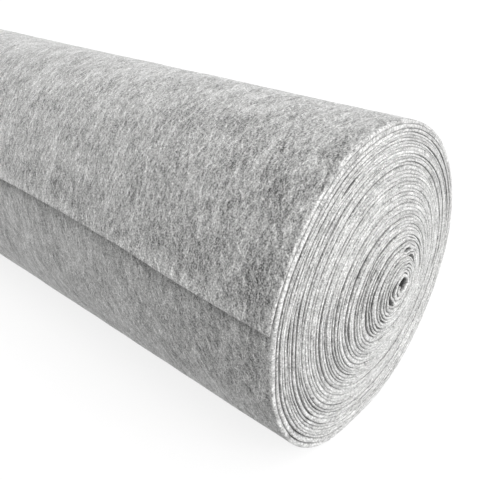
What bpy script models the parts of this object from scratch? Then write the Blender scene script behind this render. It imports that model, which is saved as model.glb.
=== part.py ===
# A roll of needle-punched geotextile: one length of felt wound on itself without a core tube.
# The roll lies along X with its proud end at +X. The origin is at the bottom centre, on its flat spot.
# Lengths are in metres and angles in degrees, measured from +Y towards +Z as seen from +X.

import math
from collections import namedtuple

import bpy
import numpy as np

# The cloth
CLOTH_WIDTH = 1.0
PLIES = 48
CORE_RADIUS = 0.0075
OUTER_RADIUS = 0.160
PLY_PITCH = (OUTER_RADIUS - CORE_RADIUS) / PLIES

# The hollow at the core is a little oval, and the plies round it less and less so
CORE_OVAL = 0.0011
CORE_OVAL_ANGLE = 46.0
CORE_OVAL_PLIES = 17.7

# The free edge of the outer turn stands off the turn below it
FREE_EDGE_ANGLE = 167.0
FREE_EDGE_LIFT = 0.0026
FREE_EDGE_STATIONS = 3
FREE_EDGE_CURL = 1.5

# The roll has settled on a flat strip
FLOOR_DROP = 0.1594
SNAP = 0.0003
SETTLING = 10
UNDERSIDE_SINE = 0.5

# Each turn that the solid shows holds this many plies, from the core to the outside
PLIES_IN_TURN = (1, 2, 4, 6, 7, 7, 6, 5, 4, 2, 2, 1, 1)
STATIONS = 52

# The valley between two turns on an end of the roll, and the rounding of a single cut edge
VALLEY_HALF_WIDTH = 0.0009
VALLEY_DEPTH = 0.0028
VALLEY_DEEPENING = 0.0026
VALLEY_DEEP_ANGLE = 205.0
EDGE_ROUNDING = 0.0010
RUN_OUT_STATIONS = 6

# How the plies have slipped: each row's turns lie this far across, up and proud of the outer turn
Slip = namedtuple("Slip", "ply across up proud")
SLIPS = (
    Slip(0, 0.0114, 0.0080, 0.0225),
    Slip(6, 0.0110, 0.0045, 0.0195),
    Slip(12, 0.0099, 0.0029, 0.0158),
    Slip(20, 0.0056, 0.0024, 0.0110),
    Slip(34, 0.0026, 0.0043, 0.0040),
    Slip(PLIES, 0.0, 0.0, 0.0),
)

# How far the outer turn stands outside a true spiral at each angle
Bulge = namedtuple("Bulge", "angle out")
BULGES = (
    Bulge(0, 0.0006),
    Bulge(30, -0.0029),
    Bulge(60, -0.0035),
    Bulge(90, 0.0010),
    Bulge(115, 0.0032),
    Bulge(140, 0.0),
    Bulge(165, -0.0026),
    Bulge(188, -0.0070),
    Bulge(205, -0.0054),
    Bulge(225, 0.0008),
    Bulge(245, 0.0051),
    Bulge(270, 0.0038),
    Bulge(300, 0.0043),
    Bulge(330, 0.0019),
)

# Below its free edge the roll is fuller, in the outermost plies most of all
FULLNESS = 0.0031
FULLNESS_ANGLE = 220.0
FULLNESS_HALF_ANGLE = 42.0
FULLNESS_FADING = 10

FELT_GREY = (0.50, 0.50, 0.49, 1.0)
FELT_ROUGHNESS = 0.95
SHARP_EDGE_ANGLE = 35.0

TURNS = len(PLIES_IN_TURN) - 1
LAST = TURNS * STATIONS
LIFT_START = LAST - FREE_EDGE_STATIONS
PLY_AT_TURN = np.concatenate([[0.0], np.cumsum(PLIES_IN_TURN)])


def clear_scene():
    for old in list(bpy.data.objects):
        bpy.data.objects.remove(old, do_unlink=True)


def new_collection(name):
    collection = bpy.data.collections.new(name)
    bpy.context.scene.collection.children.link(collection)
    return collection


def felt_material():
    material = bpy.data.materials.new("grey_felt")
    material.use_nodes = True
    shader = material.node_tree.nodes["Principled BSDF"]
    shader.inputs["Base Color"].default_value = FELT_GREY
    shader.inputs["Roughness"].default_value = FELT_ROUGHNESS
    shader.inputs["Metallic"].default_value = 0.0
    return material


# A smooth curve through a table's rows: Hermite pieces with slopes from the neighbouring rows
def curve_through(keys, values, at):
    keys = np.asarray(keys, float)
    values = np.asarray(values, float)
    slopes = np.gradient(values, keys)
    i = int(np.clip(np.searchsorted(keys, at, side="right") - 1, 0, len(keys) - 2))
    span = keys[i + 1] - keys[i]
    t = (at - keys[i]) / span
    rise = values[i + 1] - values[i]
    start = slopes[i] * span
    end = slopes[i + 1] * span
    return values[i] + start * t + (3 * rise - 2 * start - end) * t**2 + (start + end - 2 * rise) * t**3


def slip_at(ply, column):
    return curve_through([row.ply for row in SLIPS], [getattr(row, column) for row in SLIPS], ply)


# The bulges go once round, so the table is laid out three times and read in the middle
def bulge_at(angle):
    keys = [row.angle + turn * 360.0 for turn in (-1, 0, 1) for row in BULGES]
    return curve_through(keys, [row.out for row in BULGES] * 3, angle % 360.0)


def fullness_at(angle):
    off = abs((angle - FULLNESS_ANGLE + 180.0) % 360.0 - 180.0)
    share = min(max(2.0 - 2.0 * off / FULLNESS_HALF_ANGLE, 0.0), 1.0)
    return FULLNESS * share * share * (3.0 - 2.0 * share)


# Stations count round the spiral from the inner end of the cloth
def ply_at(station):
    turn = min(station / STATIONS, TURNS + 1)
    return float(np.interp(turn, np.arange(TURNS + 2), PLY_AT_TURN))


def angle_at(station):
    return FREE_EDGE_ANGLE + 360.0 * (station % STATIONS) / STATIONS


def free_edge_lift(station):
    share = max(0.0, (station - LIFT_START) / FREE_EDGE_STATIONS)
    return FREE_EDGE_LIFT * share**FREE_EDGE_CURL


# Distance of a ply's inner face from its own centre
def wound_radius(ply, angle):
    share = ply / PLIES
    oval = CORE_OVAL * math.exp(-((ply / CORE_OVAL_PLIES) ** 2))
    radius = CORE_RADIUS + PLY_PITCH * ply + bulge_at(angle) * share**2
    radius += fullness_at(angle) * share**FULLNESS_FADING
    return radius + oval * math.cos(math.radians(2.0 * (angle - CORE_OVAL_ANGLE)))


# How much the floor pushes a ply in: fully in the outer turn, less and less towards the core
def flat_dent(ply, angle):
    down = -math.sin(math.radians(angle))
    if down < UNDERSIDE_SINE:
        return 0.0
    outer_ply = PLIES - 1 + (angle - FREE_EDGE_ANGLE) % 360.0 / 360.0
    over = wound_radius(outer_ply, angle) - FLOOR_DROP / down
    return max(0.0, over) * min(1.0, ply / (PLIES - 1)) ** SETTLING


# Where a boundary between plies lies in the roll's section; outward moves it off that boundary
def section_point(station, outward=0.0):
    ply = ply_at(station)
    angle = angle_at(station)
    radius = wound_radius(ply, angle) - flat_dent(ply, angle) + outward
    across = slip_at(ply, "across") + radius * math.cos(math.radians(angle))
    up = slip_at(ply, "up") + radius * math.sin(math.radians(angle))
    if up < SNAP - FLOOR_DROP:
        up = -FLOOR_DROP
    return across, up


# The outer face of the turn that starts one turn before this station, lifted along the free edge
def outer_wall_point(station, outward=0.0):
    return section_point(station, outward + free_edge_lift(station - STATIONS))


# How deep the valley at a station runs: it runs out where it meets the hollow and the outer wall
def valley_depth(station):
    swing = 0.5 + 0.5 * math.cos(math.radians(angle_at(station) - VALLEY_DEEP_ANGLE))
    deep = VALLEY_DEPTH + VALLEY_DEEPENING * swing
    from_core = (station - STATIONS) / RUN_OUT_STATIONS
    from_wall = (LIFT_START - station) / RUN_OUT_STATIONS
    share = min(max(min(from_core, from_wall), 0.0), 1.0)
    return EDGE_ROUNDING + (deep - EDGE_ROUNDING) * share


def proud_at(station):
    middle = 0.5 * (ply_at(station) + ply_at(station + STATIONS))
    return slip_at(middle, "proud")


# Every band of the spiral has four lines of points on each end of the roll:
# its valley, its inner shoulder, its outer shoulder, and under the free edge a second inner line.
class RollMesh:
    def __init__(self):
        self.points = []
        self.faces = []
        self.rim = 0.5 * (CLOTH_WIDTH - proud_at(0))
        wall = [outer_wall_point(station)[0] for station in range(LAST, LAST + STATIONS + 1)]
        self.middle = 0.5 * (max(wall) + min(wall))

    def add_point(self, side, proud, depth, section):
        x = self.rim + proud - depth if side > 0 else self.rim - CLOTH_WIDTH + proud + depth
        self.points.append((x, section[0] - self.middle, section[1] + FLOOR_DROP))
        return len(self.points) - 1

    def add_face(self, side, *corners):
        self.faces.append(corners if side > 0 else corners[::-1])

    def end_lines(self, side):
        valley = {}
        inner = {}
        outer = {}
        under = {}
        for station in range(LAST + STATIONS + 1):
            proud = proud_at(station if station <= LAST else station - STATIONS)
            section = outer_wall_point(station)
            valley[station] = self.add_point(side, proud, valley_depth(station), section)
        for station in range(LAST + 1):
            proud = proud_at(station)
            lift = free_edge_lift(station)
            shoulder = section_point(station, VALLEY_HALF_WIDTH + lift)
            inner[station] = self.add_point(side, proud, 0.0, shoulder)
            shoulder = outer_wall_point(station + STATIONS, -VALLEY_HALF_WIDTH)
            outer[station] = self.add_point(side, proud, 0.0, shoulder)
            if station > LIFT_START:
                under[station] = self.add_point(side, proud, EDGE_ROUNDING, section_point(station, lift))
            else:
                under[station] = valley[station]
        return valley, inner, outer, under

    def cover_end(self, side, lines):
        valley, inner, outer, under = lines
        for a in range(LAST):
            b = a + 1
            far_a = a + STATIONS
            far_b = b + STATIONS
            self.add_face(side, under[a], inner[a], inner[b], under[b])
            self.add_face(side, inner[a], outer[a], outer[b], inner[b])
            self.add_face(side, outer[a], valley[far_a], valley[far_b], outer[b])

    def join_ends(self, near, far, stations, facing):
        for a in stations:
            self.add_face(facing, near[a], far[a], far[a + 1], near[a + 1])

    # The two cut ends of the cloth, at the core and at the free edge
    def close_cloth_end(self, station, near, far, facing):
        corners = []
        for valley, inner, outer, under in (near, far):
            line = [under[station], inner[station], outer[station], valley[station + STATIONS]]
            corners += line if not corners else line[::-1]
        self.add_face(facing, *corners)

    def build(self, name, collection, material):
        near = self.end_lines(1)
        far = self.end_lines(-1)
        self.cover_end(1, near)
        self.cover_end(-1, far)
        self.join_ends(near[0], far[0], range(LIFT_START, LAST + STATIONS), 1)
        self.join_ends(near[3], far[3], range(LIFT_START, LAST), -1)
        self.join_ends(near[0], far[0], range(STATIONS), -1)
        self.close_cloth_end(LAST, near, far, 1)
        self.close_cloth_end(0, near, far, -1)
        mesh = bpy.data.meshes.new(name)
        mesh.from_pydata(self.points, [], self.faces)
        mesh.update()
        mesh.shade_smooth()
        mesh.set_sharp_from_angle(angle=math.radians(SHARP_EDGE_ANGLE))
        mesh.materials.append(material)
        roll = bpy.data.objects.new(name, mesh)
        collection.objects.link(roll)
        return roll


def main():
    clear_scene()
    collection = new_collection("geotextile_roll_parts")
    RollMesh().build("geotextile_roll", collection, felt_material())


main()
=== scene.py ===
import math

import bpy
import numpy as np
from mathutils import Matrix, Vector


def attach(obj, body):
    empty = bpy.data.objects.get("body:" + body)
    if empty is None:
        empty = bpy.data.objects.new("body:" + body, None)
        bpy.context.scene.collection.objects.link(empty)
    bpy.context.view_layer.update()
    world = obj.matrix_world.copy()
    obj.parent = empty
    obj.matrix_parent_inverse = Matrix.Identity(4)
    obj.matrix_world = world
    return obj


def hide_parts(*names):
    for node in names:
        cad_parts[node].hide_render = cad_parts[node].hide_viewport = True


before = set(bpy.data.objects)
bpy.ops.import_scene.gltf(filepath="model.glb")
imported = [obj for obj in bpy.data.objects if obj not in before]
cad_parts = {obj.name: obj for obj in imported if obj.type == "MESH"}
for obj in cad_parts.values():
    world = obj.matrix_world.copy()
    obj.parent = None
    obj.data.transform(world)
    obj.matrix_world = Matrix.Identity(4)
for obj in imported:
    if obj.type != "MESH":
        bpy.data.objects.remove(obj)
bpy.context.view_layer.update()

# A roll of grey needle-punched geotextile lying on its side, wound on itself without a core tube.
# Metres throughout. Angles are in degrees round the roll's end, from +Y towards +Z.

print("frame loaded")


# how the cloth is wound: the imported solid's sizes, with the free edge drawn more finely
winding = {
    "width": 1.0,              # cut edge to cut edge
    "plies": 48,
    "coreRadius": 0.0075,
    "coreFill": 0.0015,        # the innermost turn is a little thicker, where nothing presses on it
    "coreFillTo": 0.7,         # so many plies of it, and a fade
    "coreFillFade": 0.3,
    "outerRadius": 0.160,
    "coreOval": 0.0011,        # the roll was flattened at its core, and the oval dies away outwards
    "coreOvalAngle": 46.0,
    "coreOvalPlies": 17.7,
    "freeEdgeAngle": 167.0,
    "freeEdgeLift": 0.0034,    # the free edge stands off the turn below
    "liftDegrees": 34.0,
    "liftCurl": 2.0,
    # metres from the middle, degrees: the free edge runs a little askew along the roll
    "edgePath": [
        (-0.5, -13.3), (0.05, -5.3), (0.14, -4.77), (0.185, -4.4), (0.23, -3.9),
        (0.276, -3.1), (0.322, -2.28), (0.367, -0.92), (0.411, 0.0), (0.5, 1.3),
    ],
    "skewTurns": 0.30,         # the cloth before it follows, less and less
    "floorDrop": 0.1594,       # the roll has settled on a flat strip
    "settling": 10,
    "undersideSine": 0.5,
    # ply, across, up, proud: how far the turns have slipped
    "slips": [
        (0, 0.0114, 0.0080, 0.0225),
        (6, 0.0110, 0.0045, 0.0195),
        (12, 0.0099, 0.0029, 0.0158),
        (20, 0.0056, 0.0024, 0.0110),
        (34, 0.0026, 0.0043, 0.0040),
        (48, 0.0, 0.0, 0.0),
    ],
    # angle, out: how far the outer turn stands outside a true spiral
    "bulges": [
        (0, 0.0006), (30, -0.0029), (60, -0.0035), (90, 0.0010), (115, 0.0032),
        (140, 0.0), (165, -0.0026), (188, -0.0070), (205, -0.0054), (225, 0.0008),
        (245, 0.0051), (270, 0.0038), (300, 0.0043), (330, 0.0019),
    ],
    "fullness": 0.0031,        # below its free edge the roll is fuller, in the outermost turns most of all
    "fullnessAngle": 220.0,
    "fullnessHalfAngle": 42.0,
    "fullnessFading": 10,
}
pitch = (winding["outerRadius"] - winding["coreRadius"]) / winding["plies"]
circumference = 2 * math.pi * winding["outerRadius"]
lastPly = winding["plies"] - 1

# what the turns do besides: gaps that open between them at the cut edges, and edges that don't line up
unevenness = {
    "seed": 11,
    "gapDeep": 0.00012,        # between two turns well inside the roll
    "gapMouth": 0.00013,       # at the cut edges, the least
    "gapClosed": 0.7,          # where the turns lie close, this share of it is gone
    "gapOpen": 0.00040,        # and how much more where the turns have parted a little
    "gapPower": 1.6,           # most of it where a stretch is widest
    "gapTurns": 0.26,          # an open stretch is about this share of a turn long
    "fineTurns": 0.0598,       # and the small changes in it are this long
    "openUsual": 0.38,         # how wide it is on the whole, and what the stretches and small changes add
    "openBroad": 0.62,
    "openFine": 0.22,
    "gapSide": 200.0,          # they open most towards this angle
    "gapElsewhere": 0.22,
    "startTurns": 0.15,        # a gap starts over this share of a turn at the hollow, and ends at the wall
    "stopTurns": 0.08,
    "wander": 0.00035,         # a boundary between turns wanders in and out this far
    "wanderTurns": 0.16,
    "edgeShift": 0.0009,       # a turn's cut edge lies this far out of line
    "edgeShiftTurns": 0.45,
    "edgeShiftFade": 2.0,      # and less and less in the last turns
    # the places where two turns have parted, or lie close where the opening is below 0:
    # boundary, how far it has drifted from its even place in plies, angle, half angle, opening in mm
    "partings": [
        (1, -0.26, 55, 25, 1.72), (1, -0.12, 140, 30, 0.80), (1, -0.65, 205, 45, 0.30),
        (2, -0.08, -13, 7, 0.58), (2, -0.25, 55, 25, 0.73), (2, 0.88, 174, 26, 5.00),
        (3, -0.36, 57, 20, 0.78), (3, 0.27, 214, 25, 3.17), (4, -0.80, 4, 8, 1.55),
        (4, 0.06, 50, 20, 1.67), (5, -0.80, -47, 8, 0.90), (5, 0.38, 110, 25, 0.45),
        (6, 0.53, 230, 16, 1.06), (7, -0.43, 40, 18, 3.28), (7, 0.10, 53, 6, 3.00),
        (7, -0.72, 105, 20, 0.93), (7, -0.80, 150, 26, 0.24), (7, 0.67, 180, 22, 2.91),
        (8, 0.35, 222, 28, 2.12), (9, -0.35, 74, 10, 6.50), (9, -0.48, 192, 40, 0.16),
        (10, 0.28, 60, 14, 0.40), (10, 0.29, 142, 26, 1.53), (10, 0.83, 161, 10, 1.13),
        (10, 0.17, 225, 28, 1.68), (11, 0.90, 176, 16, 3.02), (11, 0.05, 216, 30, 1.07),
        (12, 0.11, 34, 14, 0.43), (12, 0.00, 120, 44, -1.00), (12, -0.26, 212, 30, 1.02),
        (13, -0.42, 60, 12, 0.68), (13, 0.78, 150, 36, 3.11), (13, -0.80, 206, 40, 0.38),
        (14, 0.22, -3, 16, 0.38), (14, -0.14, 37, 18, 1.50), (14, -0.52, 60, 12, 0.29),
        (14, 0.19, 133, 16, 1.43), (14, 0.90, 176, 16, 2.14), (14, 0.90, 214, 22, 0.08),
        (15, -0.41, 105, 20, 0.08), (15, -0.80, 156, 16, 0.45), (16, 0.00, 120, 44, -1.00),
        (16, -0.80, 152, 20, 0.42), (16, 0.09, 180, 28, 0.92), (16, 0.66, 218, 24, 0.44),
        (17, -0.18, 180, 26, 0.27), (17, 0.31, 218, 24, 0.42), (18, -0.43, 136, 32, 0.43),
        (19, -0.44, 170, 12, 0.97), (19, 0.62, 188, 18, 3.01), (19, 0.13, 218, 24, 0.66),
        (20, 0.90, 156, 20, 1.24), (20, -0.16, 202, 24, 0.15), (21, -0.28, 158, 16, 1.41),
        (22, 0.00, 120, 44, -1.00), (22, 0.90, 206, 30, 0.90), (23, 0.00, 120, 44, -1.00),
        (23, -0.07, 174, 12, 0.69), (24, 0.00, 120, 44, -1.00), (24, 0.24, 206, 34, 0.29),
        (25, 0.00, 120, 44, -1.00), (25, -0.05, 204, 38, 0.09), (26, 0.00, 120, 44, -1.00),
        (26, 0.35, 228, 16, 0.22), (27, 0.28, 176, 20, 1.02), (27, -0.01, 222, 20, 0.65),
        (28, 0.00, 120, 44, -1.00), (28, -0.38, 200, 26, 0.54), (29, 0.00, 120, 44, -1.00),
        (29, -0.13, 204, 22, 0.69), (30, 0.00, 120, 44, -1.00), (30, -0.80, 142, 40, 0.69),
        (31, 0.15, 194, 24, 1.06), (32, 0.00, 120, 44, -1.00), (33, -0.80, 44, 10, 1.43),
        (33, -0.33, 128, 20, 0.08), (33, 0.12, 208, 36, 0.17), (34, 0.00, 10, 40, -1.00),
        (34, 0.51, 76, 26, 0.33), (34, -0.28, 208, 34, 0.19), (35, -0.21, -85, 10, 0.61),
        (35, 0.46, -22, 16, 2.19), (35, 0.00, 120, 44, -1.00), (36, -0.08, 63, 14, 0.20),
        (36, 0.19, 134, 34, 2.39), (36, -0.11, 163, 10, 1.50), (36, 0.68, 212, 30, 0.08),
        (37, -0.08, -48, 20, 0.14), (37, 0.01, 24, 22, 0.28), (37, -0.34, 54, 22, 0.41),
        (37, 0.48, 212, 26, 0.94), (38, 0.00, 60, 50, -1.00), (38, 0.31, 133, 9, 2.07),
        (38, 0.06, 159, 14, 1.55), (38, -0.14, 236, 14, 0.15), (39, 0.42, -86, 14, 1.08),
        (39, 0.47, 142, 18, 1.42), (39, 0.90, 160, 14, 0.32), (39, -0.10, 178, 24, 2.38),
        (39, 0.42, 209, 20, 2.40), (40, -0.06, 118, 7, 3.33), (40, -0.80, 172, 12, 1.09),
        (40, 0.66, 204, 40, 0.94), (41, 0.39, -6, 16, 1.45), (41, 0.46, 20, 24, 3.17),
        (41, -0.58, 48, 20, 1.59), (41, -0.13, 66, 18, 0.11), (41, 0.30, 204, 34, 0.88),
        (42, -0.58, 142, 22, 0.60), (42, -0.31, 174, 9, 1.81), (42, 0.17, 210, 18, 0.26),
        (43, 0.81, -68, 26, 2.54), (43, 0.00, -28, 26, 3.05), (43, -0.10, 154, 12, 2.21),
        (44, 0.05, 8, 24, 2.52), (44, -0.45, 38, 24, 1.97), (44, -0.11, 64, 26, 0.45),
        (44, -0.74, 118, 18, 1.10), (44, 0.00, 178, 16, -1.00), (44, -0.15, 208, 15, 0.80),
        (45, 0.35, 62, 16, 0.22), (45, -0.35, 104, 26, 0.27), (45, -0.80, 148, 30, 1.01),
        (45, -0.32, 174, 18, 1.09), (45, -0.08, 200, 22, 0.75), (45, -0.55, 222, 16, 0.90),
        (46, -0.69, 28, 12, 1.44), (46, 0.67, 125, 40, 0.64), (46, 0.55, 203, 14, 0.10),
        (46, 0.38, 217, 10, 0.35), (46, 0.08, 228, 12, 0.90), (46, -0.22, 242, 14, 0.40),
    ],
    "driftTurns": 0.8,         # a drifted boundary takes its neighbours with it this far
    "driftShare": 0.7,         # and this share of its half angle round the roll,
    "driftMore": 6.0,          # and so many degrees more
    "evenWeight": 0.12,        # how firmly the boundaries keep to their even places
    "partingPower": 1.2,       # above 1 a parting is slimmer towards its ends
    "partingTurns": 2.0,       # it squeezes the turns beside it this far
    # boundary, inwards: the outer turns are looser, so thicker
    "looseTurns": [
        (36, 0.0), (41, 0.0004), (44, 0.0011), (45.5, 0.0016),
        (46.4, 0.0014), (46.9, 0.0006), (47, 0.0), (49, 0.0),
    ],
}


def smoothCurve(keys, values, at):
    # Hermite pieces with slopes from the neighbouring rows
    keys = np.asarray(keys, float)
    values = np.asarray(values, float)
    slopes = np.gradient(values, keys)
    at = np.asarray(at, float)
    i = np.clip(np.searchsorted(keys, at, side="right") - 1, 0, len(keys) - 2)
    span = keys[i + 1] - keys[i]
    t = (at - keys[i]) / span
    rise = values[i + 1] - values[i]
    start = slopes[i] * span
    end = slopes[i + 1] * span
    return values[i] + start * t + (3 * rise - 2 * start - end) * t**2 + (start + end - 2 * rise) * t**3


def slipAt(ply, column):
    rows = winding["slips"]
    return smoothCurve([row[0] for row in rows], [row[column] for row in rows], ply)


def bulgeAt(angle):
    rows = winding["bulges"]
    keys = [row[0] + turn * 360.0 for turn in (-1, 0, 1) for row in rows]
    return smoothCurve(keys, [row[1] for row in rows] * 3, np.mod(angle, 360.0))


def angleOf(ply):
    return winding["freeEdgeAngle"] + 360.0 * np.asarray(ply, float)


def ease(t):
    t = np.clip(t, 0.0, 1.0)
    return t * t * (3 - 2 * t)


def noiseAlong(at, cell, seed):
    # soft ups and downs between about -1 and 1 along a line
    heights = np.random.default_rng(seed).uniform(-1, 1, int(np.max(at) / cell) + 4)
    place = np.asarray(at, float) / cell
    i = np.floor(place).astype(int)
    t = ease(place - i)
    return heights[i] * (1 - t) + heights[i + 1] * t


def noiseOver(u, v, cellU, cellV, seed):
    # the same over a surface
    u = (np.asarray(u, float) - np.min(u)) / cellU
    v = (np.asarray(v, float) - np.min(v)) / cellV
    shape = (int(np.max(u)) + 3, int(np.max(v)) + 3)
    heights = np.random.default_rng(seed).uniform(-1, 1, shape)
    i = np.floor(u).astype(int)
    j = np.floor(v).astype(int)
    s = ease(u - i)
    t = ease(v - j)
    near = heights[i, j] * (1 - t) + heights[i, j + 1] * t
    far = heights[i + 1, j] * (1 - t) + heights[i + 1, j + 1] * t
    return near * (1 - s) + far * s


def fullnessAt(angle):
    off = np.abs(np.mod(angle - winding["fullnessAngle"] + 180.0, 360.0) - 180.0)
    return winding["fullness"] * ease(2.0 - 2.0 * off / winding["fullnessHalfAngle"])


def woundRadius(ply, angle):
    oval = winding["coreOval"] * np.exp(-(ply / winding["coreOvalPlies"])**2)
    radius = winding["coreRadius"] + pitch * ply + bulgeAt(angle) * (ply / winding["plies"])**2
    radius = radius + fullnessAt(angle) * (ply / winding["plies"])**winding["fullnessFading"]
    return radius + oval * np.cos(np.radians(2.0 * (angle - winding["coreOvalAngle"])))


def flatDent(ply, angle):
    down = -np.sin(np.radians(angle))
    outerPly = lastPly + np.mod(angle - winding["freeEdgeAngle"], 360.0) / 360.0
    over = woundRadius(outerPly, angle) - winding["floorDrop"] / np.maximum(down, winding["undersideSine"])
    dent = np.maximum(0.0, over) * np.minimum(1.0, ply / lastPly)**winding["settling"]
    return np.where(down < winding["undersideSine"], 0.0, dent)


def inside(ply):
    # 1 for a boundary with cloth on both sides, 0 at the hollow and at the outer wall
    return ease((ply - 1.0) / unevenness["startTurns"]) * ease((lastPly - ply) / unevenness["stopTurns"])


def awayFrom(ply, boundary, centre):
    # how far off a place on a boundary lies: in degrees round the roll, and in plies
    off = np.mod(angleOf(ply) - centre + 180.0, 360.0) - 180.0
    return off, ply - boundary - np.mod(centre - winding["freeEdgeAngle"], 360.0) / 360.0 - off / 360.0


def closeness(ply):
    # 1 where the turns lie close
    close = np.zeros_like(np.asarray(ply, float))
    for boundary, _, centre, half, opening in unevenness["partings"]:
        if opening < 0:
            off, away = awayFrom(ply, boundary, centre)
            close = np.maximum(close, ease(2 - 2 * np.abs(off) / half) * (np.abs(away) < 0.5))
    return close


def openness(ply):
    # how far two turns have parted at their cut edges: 0 where they lie tight, 1 where the gap is widest
    side = (0.5 + 0.5 * np.cos(np.radians(angleOf(ply) - unevenness["gapSide"])))**2
    reach = unevenness["gapElsewhere"] + (1 - unevenness["gapElsewhere"]) * side
    broad = noiseAlong(ply, unevenness["gapTurns"], unevenness["seed"])
    fine = noiseAlong(ply, unevenness["fineTurns"], unevenness["seed"] + 7)
    wide = unevenness["openUsual"] + unevenness["openBroad"] * broad + unevenness["openFine"] * fine
    return np.clip(wide, 0, 1) * reach * (1 - closeness(ply))


def looseness(ply):
    rows = unevenness["looseTurns"]
    return np.interp(ply, [row[0] for row in rows], [row[1] for row in rows])


def gapAt(ply):
    least = unevenness["gapMouth"] * (1 - unevenness["gapClosed"] * closeness(ply))
    parted = unevenness["gapOpen"] * openness(ply)**unevenness["gapPower"]
    return (least + parted) * inside(ply)


def partingPush(ply, face):
    # how far the partings push a turn's face outwards: face is 1 just outside a boundary, -1 just inside it
    ply = np.asarray(ply, float)
    push = np.zeros_like(ply)
    drift = np.zeros_like(ply)
    weights = np.full_like(ply, unevenness["evenWeight"])
    for boundary, drifted, centre, half, opening in unevenness["partings"]:
        if opening > 0:
            off, away = awayFrom(ply, boundary, centre)
            turns = np.round(away)
            outside = np.where(turns == 0, face, np.sign(turns))
            near = np.clip(1 - (off / half)**2, 0, 1)**unevenness["partingPower"]
            # half of the opening, which is in mm, goes to each side
            push += outside * 0.0005 * opening * near * np.exp(-np.abs(turns) / unevenness["partingTurns"])
            reach = unevenness["driftShare"] * half + unevenness["driftMore"]
            weight = np.exp(-(away / unevenness["driftTurns"])**2 - (off / reach)**2)
            drift += weight * drifted
            weights += weight
    return push + pitch * drift / weights


def freeEdgeLift(ply):
    share = np.clip((ply - lastPly) * 360.0 / winding["liftDegrees"] + 1.0, 0.0, 1.0)
    return winding["freeEdgeLift"] * share**winding["liftCurl"]


def skewShift(ply, x):
    # how many plies further the cloth's end reaches at x
    rows = winding["edgePath"]
    degrees = smoothCurve([row[0] for row in rows], [row[1] for row in rows], x)
    return degrees / 360.0 * ease((ply - lastPly) / winding["skewTurns"] + 1.0)


def facePoint(ply, face, gapShare, lift=0.0):
    # where a turn's inner face (1) or outer face (-1) lies in the roll's end, seen from +X
    angle = angleOf(ply)
    wander = unevenness["wander"] * noiseAlong(ply, unevenness["wanderTurns"], unevenness["seed"] + 1)
    gap = unevenness["gapDeep"] + (gapAt(ply) - unevenness["gapDeep"]) * gapShare
    radius = woundRadius(ply, angle) - flatDent(ply, angle) - looseness(ply) + partingPush(ply, face)
    radius = radius + (wander + face * 0.5 * gap) * inside(ply) + lift
    if face > 0:
        filled = 1 - ease((ply - winding["coreFillTo"]) / winding["coreFillFade"])
        radius = radius - winding["coreFill"] * filled
    across = slipAt(ply, 1) + radius * np.cos(np.radians(angle))
    up = slipAt(ply, 2) + radius * np.sin(np.radians(angle))
    return across, np.maximum(up, -winding["floorDrop"])


def proudAt(ply):
    shift = unevenness["edgeShift"] * noiseAlong(ply, unevenness["edgeShiftTurns"], unevenness["seed"] + 2)
    return slipAt(ply + 0.5, 3) + shift * ease((lastPly - ply) / unevenness["edgeShiftFade"])


# the roll is centred on its outer wall
wallPly = np.linspace(lastPly, lastPly + 1, 721)
wallAcross = facePoint(wallPly, -1, 0.0, freeEdgeLift(wallPly - 1.0))[0]
axisShift = 0.5 * (wallAcross.max() + wallAcross.min())
rim = 0.5 * (winding["width"] - slipAt(0.5, 3))


# depth from the cut edge in mm where two turns lie tight and where they have parted,
# share of the thickness from the inner face, share of the gap's opening
edgeProfile = [
    (12.0, 12.0, 0.0, 0.0), (0.7, 4.0, 0.0, 0.6), (0.18, 1.1, 0.05, 1.0), (0.03, 0.25, 0.24, 1.0),
    (0.0, 0.0, 0.5, 1.0),
    (0.03, 0.25, 0.76, 1.0), (0.18, 1.1, 0.95, 1.0), (0.7, 4.0, 1.0, 0.6), (12.0, 12.0, 1.0, 0.0),
]


# the felt
felt = {
    "grey": 0.465,             # how light the cloth is
    "tint": (1.0, 0.998, 0.985),
    # turn in degrees, length and width of a fibre in mm
    "fibres": [(-16, 4.5, 1.2), (6, 6.0, 1.2), (30, 6.0, 1.2), (54, 4.5, 1.2)],
    "fibreDetail": 2.0,
    "fibreContrast": 3.0,
    "fibreMiddle": 0.60,       # the pattern's usual value, which leaves the cloth's grey as it is
    "lightFibres": 0.20,       # light fibres stand out more than dark ones
    # turn in degrees, length and width of a loose strand in mm
    "strands": [(-4, 26.0, 3.0), (24, 20.0, 2.6)],
    "strandDetail": 1.0,
    "strandContrast": 1.15,
    "strandMiddle": 0.56,
    "specks": 700.0,           # to the metre
    "speckContrast": 2.5,
    "speckHeight": 0.5,        # beside the fibres, which are 1
    "clouds": 28.0,            # to the metre
    "cloudContrast": 0.9,
    "turnContrast": 0.07,
    # cut edges are lighter, and the free edge also by a painted highlight
    "edgeLighter": 0.24,
    "edgeRougher": 0.15,       # the cut edges are this much more mottled
    # how strongly painted shade between the turns, round the hollow and beside the free edge darkens the
    # colour
    "grooveShadeDarker": 0.88,
    "roughness": 0.95,
    "shine": 0.2,
    "sheen": 0.60,
    "sheenMottle": 1.0,        # light fibres catch more of the sheen
    "sheenRoughness": 0.5,
    "bumpStrength": 0.25,
    "bumpDepth": 0.0005,
}
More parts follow.
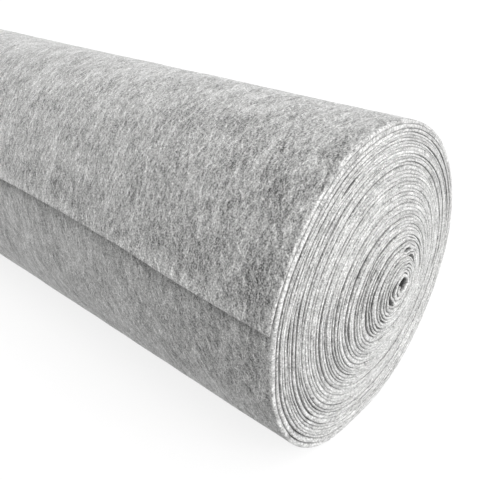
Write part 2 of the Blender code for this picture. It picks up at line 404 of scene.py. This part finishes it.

# where the cloth darkens and lightens, by painted shade, a painted shadow, a painted highlight and its own
# tone, with lengths in metres
shading = {
    "grooveDeep": 0.0022,      # between two turns the painted shade is darkest from this far in
    "hollowDeep": 0.0035,      # and the painted shade round the core's hollow from here
    "cutEdgeDeep": 0.0015,     # the look of a cut edge reaches this far in
    "freeEdgeDeep": 0.016,     # and at the free edge this far and more strongly, as fluffier cut cloth and a painted highlight on the lifted edge
    "freeEdgeFluffAndHighlight": 1.3,
    "innerShows": 0.003,       # so much of the inner side is in the open at the free edge
    "outerShows": 0.010,       # in plies: over this much the turn below comes out from under it
    "lipShadowDark": 0.32,           # a painted shadow beside the free edge, on the turn below
    "lipWide": 0.007,
    "toneTurns": 0.27,         # a turn's own tone changes over this share of a turn
    "endShade": 1.2,            # painted shade darkens the cloth towards its proud end, most of all at this angle
    "endShadeSide": 180.0,
    "endShadeReach": 0.13,
    "endShadeFrom": 0.004,         # but not on its cut edge
}


def capTriangles(depth, edge, faceLines):
    # a row of triangles that closes the cloth's section, from its outer side to its inner side
    middle = edge // 2
    last = edge + faceLines + middle
    outerSide = list(range(middle, last + 1))
    innerSide = list(range(middle, -1, -1)) + list(range(len(depth) - 1, last - 1, -1))
    triangles = []
    i = j = 0
    while i < len(outerSide) - 1 or j < len(innerSide) - 1:
        nextOuter = depth[outerSide[i + 1]] if i < len(outerSide) - 1 else math.inf
        nextInner = depth[innerSide[j + 1]] if j < len(innerSide) - 1 else math.inf
        if nextOuter <= nextInner:
            corners = (outerSide[i], outerSide[i + 1], innerSide[j])
            i += 1
        else:
            corners = (outerSide[i], innerSide[j + 1], innerSide[j])
            j += 1
        if len(set(corners)) == 3:
            triangles.append(corners)
    return np.array(triangles)


# where the felt's colours go when they are baked into a picture, in shares of its width
bakePicture = {
    "strip": 0.97,             # the outer turn's length takes this much, its two ends the rest
    "hiddenSide": 0.04,        # the inner side, which doesn't show, is squeezed this much
    "disc": 0.2909,            # radius of each end of the wound turns
    "discAt": (0.2929, 0.7071),
    "section": (0.0, 0.10, 0.16, 0.27, 0.5, 0.73, 0.84, 0.90, 1.0),
    "flatsFrom": 0.605,        # the hidden sides of the wound turns fill the corner beside the discs
    "flatsWide": 0.39,
    "outerFlat": (0.005, 0.19),
    "innerFlat": (0.20, 0.385),
    # where the cloth's first and last ends go, and how much they take across and up
    "stripEnds": ((0.975, 0.0), (0.989, 0.0), (0.01, 1.0)),
    "discEnds": ((0.61, 0.389), (0.80, 0.389), (0.17, 0.008)),
}


def stripLayout(stations, lengths, hidden):
    # along the cloth across the picture, round its section up the picture
    lengths = np.where(hidden, lengths * bakePicture["hiddenSide"], lengths)
    u = np.linspace(0.0, bakePicture["strip"], stations)[:, None]
    v = np.concatenate([[0.0], np.cumsum(lengths)]) / np.sum(lengths)
    near = np.stack(np.broadcast_arrays(u, v[:-1]), axis=-1)
    far = np.stack(np.broadcast_arrays(u, v[1:]), axis=-1)
    return near, far


def discLayout(ply, edge):
    # each end of the roll as a disc, as seen, and the hidden sides beside them
    core = winding["coreRadius"] / pitch
    radius = bakePicture["disc"] * (core + ply[:, None] + np.array(bakePicture["section"]))
    radius = radius / (core + ply[-1] + 1.0)
    angle = np.radians(angleOf(ply))[:, None]
    outwards = np.stack([radius * np.cos(angle), radius * np.sin(angle)], axis=-1)
    proudEnd, sunkEnd = [at + outwards for at in bakePicture["discAt"]]
    sunkEnd = sunkEnd[:, ::-1]
    near = np.zeros((len(ply), 2 * edge, 2))
    far = np.zeros((len(ply), 2 * edge, 2))
    near[:, :edge - 1], far[:, :edge - 1] = proudEnd[:, :-1], proudEnd[:, 1:]
    near[:, edge:-1], far[:, edge:-1] = sunkEnd[:, :-1], sunkEnd[:, 1:]
    along = bakePicture["flatsFrom"] + bakePicture["flatsWide"] * np.linspace(0.0, 1.0, len(ply))
    for column, flat in ((edge - 1, "outerFlat"), (2 * edge - 1, "innerFlat")):
        near[:, column, 0] = far[:, column, 0] = along
        near[:, column, 1], far[:, column, 1] = bakePicture[flat]
    return near, far


def bakeMap(mesh, near, far, cap, thick, wide, ends):
    # near and far are the two sides of each row of faces; the two ends of the cloth lie apart from them
    parts = [np.stack([near[:-1], far[:-1], far[1:], near[1:]], axis=2).reshape(-1, 2)]
    firstAt, lastAt, size = ends
    acrossPicture, upPicture = (thick, wide) if size[0] < size[1] else (wide, thick)
    for at, triangles in ((firstAt, cap[:, ::-1]), (lastAt, cap)):
        u = at[0] + size[0] * acrossPicture[triangles]
        v = at[1] + size[1] * upPicture[triangles]
        parts.append(np.stack([u, v], axis=-1).reshape(-1, 2))
    layer = mesh.uv_layers.new(name="OFBake")
    layer.data.foreach_set("uv", np.concatenate(parts).ravel())


def clothSection(ply, faceLines, innerLines):
    # the section's points: depth from the +X cut edge, share of the thickness, share of the gap's opening
    profile = np.array(edgeProfile)
    tight, parted = profile[:, 0] * 0.001, profile[:, 1] * 0.001
    share, opened = profile[:, 2], profile[:, 3]
    openInner = np.maximum(openness(ply), 1 - inside(ply))[:, None]
    openOuter = np.maximum(openness(ply + 1.0), 1 - inside(ply + 1.0))[:, None]
    depth = tight + (parted - tight) * np.where(share < 0.5, openInner, openOuter)
    span = winding["width"] - 2 * tight[-1]
    onFace = tight[-1] + span * np.linspace(0.0, 1.0, faceLines + 2)[1:-1]
    onFace = np.broadcast_to(onFace, (len(ply), faceLines))
    onInner = tight[-1] + span * np.linspace(1.0, 0.0, innerLines + 2)[1:-1]
    onInner = np.broadcast_to(onInner, (len(ply), innerLines))
    depth = np.concatenate([depth, onFace, winding["width"] - depth[:, ::-1], onInner], axis=1)
    share = np.concatenate([share, np.ones(faceLines), share[::-1], np.zeros(innerLines)])
    opened = np.concatenate([opened, np.zeros(faceLines), opened[::-1], np.zeros(innerLines)])
    return depth, share, opened


def lengthAlong(ply):
    # along the cloth's middle, from its first station
    across, up = facePoint(ply + 0.5, 1, 0.0)
    return np.concatenate([[0.0], np.cumsum(np.hypot(np.diff(across), np.diff(up)))])


def clothPoints(ply, depth, share, opened, shift, endRounding):
    lift = freeEdgeLift(ply)
    points = np.zeros(depth.shape + (3,))
    points[:, :, 0] = (rim + proudAt(ply))[:, None] - depth
    for j in range(len(share)):
        innerAcross, innerUp = facePoint(ply + shift[:, j], 1, opened[j], lift)
        outerAcross, outerUp = facePoint(ply + shift[:, j] + 1.0, -1, opened[j], lift)
        s = 0.5 + (share[j] - 0.5) * endRounding
        points[:, j, 1] = innerAcross * (1 - s) + outerAcross * s - axisShift
        points[:, j, 2] = innerUp * (1 - s) + outerUp * s + winding["floorDrop"]
    return points


def shadeAt(ply, depth, share):
    # for each point: painted shade between the turns, round the hollow and beside the free edge; how near it
    # is to a cut edge, with a painted highlight at the free edge; and its tone, with painted shade towards
    # the proud end
    fromCut = np.minimum(depth, winding["width"] - depth)
    fromEnd = (lastPly - ply)[:, None] * circumference
    pastEnd = ply[:, None] + 1 - lastPly - skewShift(lastPly, rim - depth)
    isInner = (share < 0.5)[None, :]
    hollow = 1 - ease((ply[:, None] - 1.0) / unevenness["startTurns"])
    innerCovered = (1 - hollow) * ease(fromEnd / shading["innerShows"])
    covered = np.where(isInner, innerCovered, ease(-pastEnd / shading["outerShows"]))
    # painted shade deep between the turns and round the core's hollow
    paintedShade = np.clip(fromCut / shading["grooveDeep"], 0, 1) * covered
    paintedShade = paintedShade + np.clip(fromCut / shading["hollowDeep"], 0, 1) * np.where(isInner, hollow, 0.0)
    # a painted shadow on the turn below, just past the free edge
    lipShadow = shading["lipShadowDark"] * np.exp(-np.abs(pastEnd) * circumference / shading["lipWide"])
    paintedShade = np.maximum(paintedShade, np.where(isInner | (pastEnd < 0), 0.0, lipShadow))
    # the free edge is lighter: fluffier cloth, and partly a painted highlight where the lifted edge tilts to
    # the light
    fluffAndHighlight = shading["freeEdgeFluffAndHighlight"] * np.clip(1 - fromEnd / shading["freeEdgeDeep"], 0, 1)
    cutEdge = np.maximum(np.clip(1 - fromCut / shading["cutEdgeDeep"], 0, 1), fluffAndHighlight)
    tone = 0.5 + 0.5 * noiseAlong(ply, shading["toneTurns"], unevenness["seed"] + 3)
    # painted shade, darkest near the proud end and round the angle endShadeSide
    towards = (0.5 + 0.5 * np.cos(np.radians(angleOf(ply) - shading["endShadeSide"])))**2
    onCloth = np.clip(fromCut / shading["endShadeFrom"], 0, 1) * np.exp(-depth / shading["endShadeReach"])
    tone = tone[:, None] - shading["endShade"] * towards[:, None] * onCloth
    return np.stack(np.broadcast_arrays(paintedShade, cutEdge, tone), axis=-1)


def clothStrip(name, ply, faceLines, innerLines, relief, material, endRounding):
    # One closed sheet from a row of stations along the cloth. At each station the points go round the
    # cloth's section: +X cut edge, outer face, -X cut edge, inner face.
    depth, share, opened = clothSection(ply, faceLines, innerLines)
    stations, around = depth.shape
    edge = len(edgeProfile)
    run = lengthAlong(ply)
    shift = skewShift(ply[:, None], rim - depth)
    points = clothPoints(ply, depth, share, opened, shift, endRounding)
    if relief is not None:
        top = np.arange(edge - 2, edge + faceLines + 2)
        height = relief(run, depth[:, top])
        angle = np.radians(angleOf(ply))[:, None]
        points[:, top, 1] += height * np.cos(angle)
        points[:, top, 2] += height * np.sin(angle)
        points[:, :, 2] = np.maximum(points[:, :, 2], 0.0)

    index = np.arange(stations * around).reshape(stations, around)
    nextIndex = np.roll(index, -1, axis=1)
    quads = np.stack([index[:-1], nextIndex[:-1], nextIndex[1:], index[1:]], axis=-1).reshape(-1, 4)
    cap = capTriangles(depth[-1], edge, faceLines)
    faces = quads.tolist() + index[0][cap[:, ::-1]].tolist() + index[-1][cap].tolist()
    mesh = bpy.data.meshes.new(name)
    mesh.from_pydata(points.reshape(-1, 3).tolist(), [], faces)
    mesh.update()

    # where each point lies on the flat cloth, for the felt's pattern
    place = np.stack(np.broadcast_arrays(run[:, None] + shift * circumference, depth, share * pitch), axis=-1)
    for key, given in (("clothPlace", place), ("clothShade", shadeAt(ply, depth, share))):
        mesh.attributes.new(key, "FLOAT_VECTOR", "POINT").data.foreach_set("vector", given.ravel())

    if faceLines:
        lengths = np.abs(np.diff(depth[0], append=depth[0, 0]))
        lengths = lengths + pitch * np.abs(np.diff(share, append=share[0]))
        near, far = stripLayout(stations, lengths, np.arange(around) >= 2 * edge + faceLines - 1)
    else:
        near, far = discLayout(ply, edge)
    ends = bakePicture["stripEnds" if faceLines else "discEnds"]
    bakeMap(mesh, near, far, cap, share, depth[-1] / winding["width"], ends)

    smooth = np.arange(len(faces)) < len(quads)
    mesh.polygons.foreach_set("use_smooth", smooth)
    mesh.materials.append(material)
    sheet = bpy.data.objects.new(name, mesh)
    bpy.context.scene.collection.objects.link(sheet)
    return sheet, run[-1]


class Wires:
    # small helpers for laying out a material's nodes
    def __init__(self, material):
        self.tree = material.node_tree

    def node(self, kind, **values):
        made = self.tree.nodes.new(kind)
        for key, value in values.items():
            setattr(made, key, value)
        return made

    def join(self, start, end):
        self.tree.links.new(start, end)

    def value(self, operation, a, b=None, c=None, clamp=False):
        made = self.node("ShaderNodeMath", operation=operation, use_clamp=clamp)
        for socket, given in zip(made.inputs, (a, b, c)):
            if given is None:
                continue
            if isinstance(given, (int, float)):
                socket.default_value = given
            else:
                self.join(given, socket)
        return made.outputs[0]

    def noise(self, vector, scale, detail, roughness=0.55):
        made = self.node("ShaderNodeTexNoise")
        self.join(vector, made.inputs["Vector"])
        made.inputs["Scale"].default_value = scale
        made.inputs["Detail"].default_value = detail
        made.inputs["Roughness"].default_value = roughness
        return made.outputs["Fac"]

    def stretched(self, vector, degrees, length, width, offset):
        # turned on the cloth, then stretched along it
        turned = self.node("ShaderNodeVectorRotate", rotation_type="Z_AXIS")
        self.join(vector, turned.inputs["Vector"])
        turned.inputs["Angle"].default_value = math.radians(degrees)
        scaled = self.node("ShaderNodeMapping")
        self.join(turned.outputs[0], scaled.inputs["Vector"])
        scaled.inputs["Scale"].default_value = (1000.0 / length, 1000.0 / width, 1000.0 / width)
        scaled.inputs["Location"].default_value = (offset, offset * 1.7, offset * 0.6)
        return scaled.outputs[0]

    def addPattern(self, base, pattern, middle, contrast):
        # lighter where the pattern is above its middle, darker below
        change = self.value("MULTIPLY", self.value("SUBTRACT", pattern, middle), contrast)
        return self.value("ADD", base, change)

    def lightest(self, vector, rows, detail, apart):
        # the lightest of several layers of stretched noise
        found = None
        for i, (degrees, length, width) in enumerate(rows):
            layer = self.noise(self.stretched(vector, degrees, length, width, apart * i), 0.5, detail)
            found = layer if found is None else self.value("MAXIMUM", found, layer)
        return found


def feltMaterial(name):
    material = bpy.data.materials.new(name)
    material.use_nodes = True
    wires = Wires(material)
    shader = material.node_tree.nodes["Principled BSDF"]
    place = wires.node("ShaderNodeAttribute", attribute_name="clothPlace").outputs["Vector"]
    shadeNode = wires.node("ShaderNodeAttribute", attribute_name="clothShade")
    split = wires.node("ShaderNodeSeparateXYZ")
    wires.join(shadeNode.outputs["Vector"], split.inputs[0])
    paintedShade, cutEdge, turnToneAndShade = split.outputs

    # the last value sets the layers of one pattern apart from each other
    fibre = wires.lightest(place, felt["fibres"], felt["fibreDetail"], 3.1)
    strand = wires.lightest(place, felt["strands"], felt["strandDetail"], 7.3)
    speck = wires.noise(place, felt["specks"], 2.0)
    cloud = wires.noise(place, felt["clouds"], 4.0, 0.6)

    mottle = wires.value("SUBTRACT", fibre, felt["fibreMiddle"])
    mottle = wires.value("MULTIPLY", mottle, felt["fibreContrast"])
    mottle = wires.addPattern(mottle, speck, 0.5, felt["speckContrast"])
    mottle = wires.addPattern(mottle, strand, felt["strandMiddle"], felt["strandContrast"])
    mottle = wires.value("MULTIPLY_ADD", wires.value("MULTIPLY", mottle, mottle), felt["lightFibres"], mottle)
    rougher = wires.value("MULTIPLY_ADD", cutEdge, felt["edgeRougher"], 1.0)
    tone = wires.value("MULTIPLY_ADD", mottle, rougher, 1.0)
    tone = wires.addPattern(tone, cloud, 0.5, felt["cloudContrast"])
    # each turn's own tone, with painted shade towards the proud end
    tone = wires.addPattern(tone, turnToneAndShade, 0.5, 2 * felt["turnContrast"])
    # lighter cut edges, and at the free edge partly a painted highlight
    tone = wires.value("ADD", tone, wires.value("MULTIPLY", cutEdge, felt["edgeLighter"]))
    # painted shade between the turns, round the hollow and beside the free edge darkens the colour
    dark = wires.value("SUBTRACT", 1.0, wires.value("MULTIPLY", paintedShade, felt["grooveShadeDarker"]))
    tone = wires.value("MULTIPLY", wires.value("MULTIPLY", tone, dark), felt["grey"])

    colour = wires.node("ShaderNodeCombineColor")
    for socket, part in zip(colour.inputs, felt["tint"]):
        wires.join(wires.value("MULTIPLY", tone, part), socket)
    wires.join(colour.outputs[0], shader.inputs["Base Color"])

    height = wires.value("MULTIPLY_ADD", speck, felt["speckHeight"], fibre)
    bump = wires.node("ShaderNodeBump")
    bump.inputs["Strength"].default_value = felt["bumpStrength"]
    bump.inputs["Distance"].default_value = felt["bumpDepth"]
    wires.join(height, bump.inputs["Height"])
    wires.join(bump.outputs[0], shader.inputs["Normal"])

    shader.inputs["Roughness"].default_value = felt["roughness"]
    shader.inputs["Specular IOR Level"].default_value = felt["shine"]
    uneven = felt["sheen"] * felt["sheenMottle"]
    sheen = wires.value("MULTIPLY_ADD", mottle, uneven, felt["sheen"], clamp=True)
    wires.join(sheen, shader.inputs["Sheen Weight"])
    shader.inputs["Sheen Roughness"].default_value = felt["sheenRoughness"]
    return material


# the turns inside the roll
inner = {
    "endPly": 45.90,           # the outer turn goes on from here
    "step": 0.006,             # metres between stations
    "leastDegrees": 2.2,
    "mostDegrees": 11.0,
    # plies from its first end, and the share of its thickness there: the end is rounded
    "rounding": [(0.0, 0.45), (0.004, 0.82), (0.012, 0.98)],
}


def innerStations():
    ply = [0.0]
    while ply[-1] < inner["endPly"]:
        radius = winding["coreRadius"] + pitch * (ply[-1] + 0.5)
        degrees = np.clip(math.degrees(inner["step"] / radius), inner["leastDegrees"], inner["mostDegrees"])
        ply.append(ply[-1] + degrees / 360.0)
    return np.array(ply) * inner["endPly"] / ply[-1]


cloth = feltMaterial("greyFelt")
fromTip, tipRounding = np.transpose(inner["rounding"])
evenPly = innerStations()[1:]
innerPly = np.concatenate([fromTip, evenPly])
innerRounding = np.concatenate([tipRounding, np.ones(len(evenPly))])
woundTurns, woundRun = clothStrip("woundTurns", innerPly, 0, 0, None, cloth, innerRounding)
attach(woundTurns, "root")
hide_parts("geotextile_roll")
print("wound turns", round(woundRun, 3), "m", len(woundTurns.data.polygons), "faces")


# the outer turn, with its free edge
outer = {
    "stations": 310,
    "faceLines": 232,
    "innerLines": 24,
    # metres from the free edge, and the share of the thickness there: the edge is rounded
    "rounding": [(0.0011, 0.98), (0.0004, 0.82), (0.0, 0.45)],
    # width and height of the bumps in metres
    "relief": [(0.060, 0.00035), (0.024, 0.00020), (0.011, 0.00010)],
    "reliefLonger": 1.4,       # they are longer than wide
    "reliefFrom": 0.02,        # they start where the cloth comes out from under the free edge
    "reliefEnd": 0.004,        # and stop at the free edge and at the cut edges
    "reliefCut": 0.006,
    "seed": 5,
}


def outerRelief(run, depth):
    u, v = np.broadcast_to(run[:, None], depth.shape), depth
    height = np.zeros_like(u)
    for i, (cell, tall) in enumerate(outer["relief"]):
        height += tall * noiseOver(u, v, cell * outer["reliefLonger"], cell, outer["seed"] + i)
    hidden = (lastPly - 1 - inner["endPly"]) * circumference
    bare = ease((u - hidden) / outer["reliefFrom"]) * ease((run[-1] - u) / outer["reliefEnd"])
    fromCut = np.minimum(v, winding["width"] - v)
    return height * bare * ease(fromCut / outer["reliefCut"])


fromTail, tailRounding = np.transpose(outer["rounding"])
evenPly = np.linspace(inner["endPly"], lastPly, outer["stations"])[:-1]
outerPly = np.concatenate([evenPly, lastPly - fromTail / circumference])
outerRounding = np.concatenate([np.ones(len(evenPly)), tailRounding])
outerTurn, outerRun = clothStrip(
    "outerTurn", outerPly, outer["faceLines"], outer["innerLines"], outerRelief, cloth, outerRounding)
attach(outerTurn, "root")
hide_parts("geotextile_roll")
print("outer turn", round(outerRun, 3), "m", len(outerTurn.data.polygons), "faces")


# floor, light and camera
studio = {
    "floorSize": 30.0,
    "floorGrey": 0.25,
    "floorSeen": 0.80,         # the floor is a pale, evenly lit sweep that looks white,
    "floorGlow": 0.17,         # and this is how much light it gives back to the roll
    "floorRoughness": 0.9,
    "floorShine": 0.1,
    "ambient": 0.37,
    # where it shines from, softness in degrees, power
    "lamps": {
        "endLight": ((0.90, -0.20, 0.40), 50.0, 2.2),
        "topLight": ((0.50, 0.00, 0.86), 50.0, 1.0),
        "backLight": ((0.70, 0.50, 0.50), 50.0, 0.5),
    },
    "lens": 45.09,             # and the sensor's width, both in mm
    "sensor": 36.0,
    "cameraAt": (0.71333, -0.43845, 0.46773),
    "heading": 132.05,
    "pitchDown": 28.33,
}


def seenOrGiven(nodes, links, seen, given):
    # one strength for what the camera sees and another for the light that reaches the roll
    path = nodes.new("ShaderNodeLightPath")
    strength = nodes.new("ShaderNodeMix")
    strength.inputs["A"].default_value = given
    strength.inputs["B"].default_value = seen
    links.new(path.outputs["Is Camera Ray"], strength.inputs["Factor"])
    return strength.outputs["Result"]


def plainFloor():
    half = studio["floorSize"] / 2
    corners = [(-half, -half, 0), (half, -half, 0), (half, half, 0), (-half, half, 0)]
    mesh = bpy.data.meshes.new("floor")
    mesh.from_pydata(corners, [], [(0, 1, 2, 3)])
    material = bpy.data.materials.new("paleFloor")
    material.use_nodes = True
    shader = material.node_tree.nodes["Principled BSDF"]
    grey = studio["floorGrey"]
    shader.inputs["Base Color"].default_value = (grey, grey, grey, 1)
    shader.inputs["Roughness"].default_value = studio["floorRoughness"]
    shader.inputs["Specular IOR Level"].default_value = studio["floorShine"]
    shader.inputs["Emission Color"].default_value = (1, 1, 1, 1)
    nodes, links = material.node_tree.nodes, material.node_tree.links
    glow = seenOrGiven(nodes, links, studio["floorSeen"], studio["floorGlow"])
    links.new(glow, shader.inputs["Emission Strength"])
    mesh.materials.append(material)
    floor = bpy.data.objects.new("floor", mesh)
    bpy.context.scene.collection.objects.link(floor)


def softWorld():
    world = bpy.data.worlds.new("softWorld")
    bpy.context.scene.world = world
    world.use_nodes = True
    nodes, links = world.node_tree.nodes, world.node_tree.links
    background = nodes["Background"]
    background.inputs["Color"].default_value = (1, 1, 1, 1)
    links.new(seenOrGiven(nodes, links, 1.0, studio["ambient"]), background.inputs["Strength"])


def softLamp(name, shinesFrom, softness, power):
    lamp = bpy.data.lights.new(name, "SUN")
    lamp.angle = math.radians(softness)
    lamp.energy = power
    holder = bpy.data.objects.new(name, lamp)
    holder.location = Vector(shinesFrom) * 3.0
    holder.rotation_mode = "QUATERNION"
    holder.rotation_quaternion = (-Vector(shinesFrom)).to_track_quat("-Z", "Y")
    bpy.context.scene.collection.objects.link(holder)


def camera():
    data = bpy.data.cameras.new("camera")
    data.lens = studio["lens"]
    data.sensor_width = studio["sensor"]
    data.clip_start = 0.01
    holder = bpy.data.objects.new("camera", data)
    heading, down = math.radians(studio["heading"]), math.radians(studio["pitchDown"])
    look = Vector((math.cos(heading) * math.cos(down), math.sin(heading) * math.cos(down), -math.sin(down)))
    holder.location = studio["cameraAt"]
    holder.rotation_mode = "QUATERNION"
    holder.rotation_quaternion = look.to_track_quat("-Z", "Y")
    bpy.context.scene.collection.objects.link(holder)
    bpy.context.scene.camera = holder


plainFloor()
softWorld()
for name, (shinesFrom, softness, power) in studio["lamps"].items():
    softLamp(name, shinesFrom, softness, power)
camera()
bpy.context.scene.view_settings.view_transform = "Standard"
bpy.context.scene.view_settings.look = "None"
print("studio set")
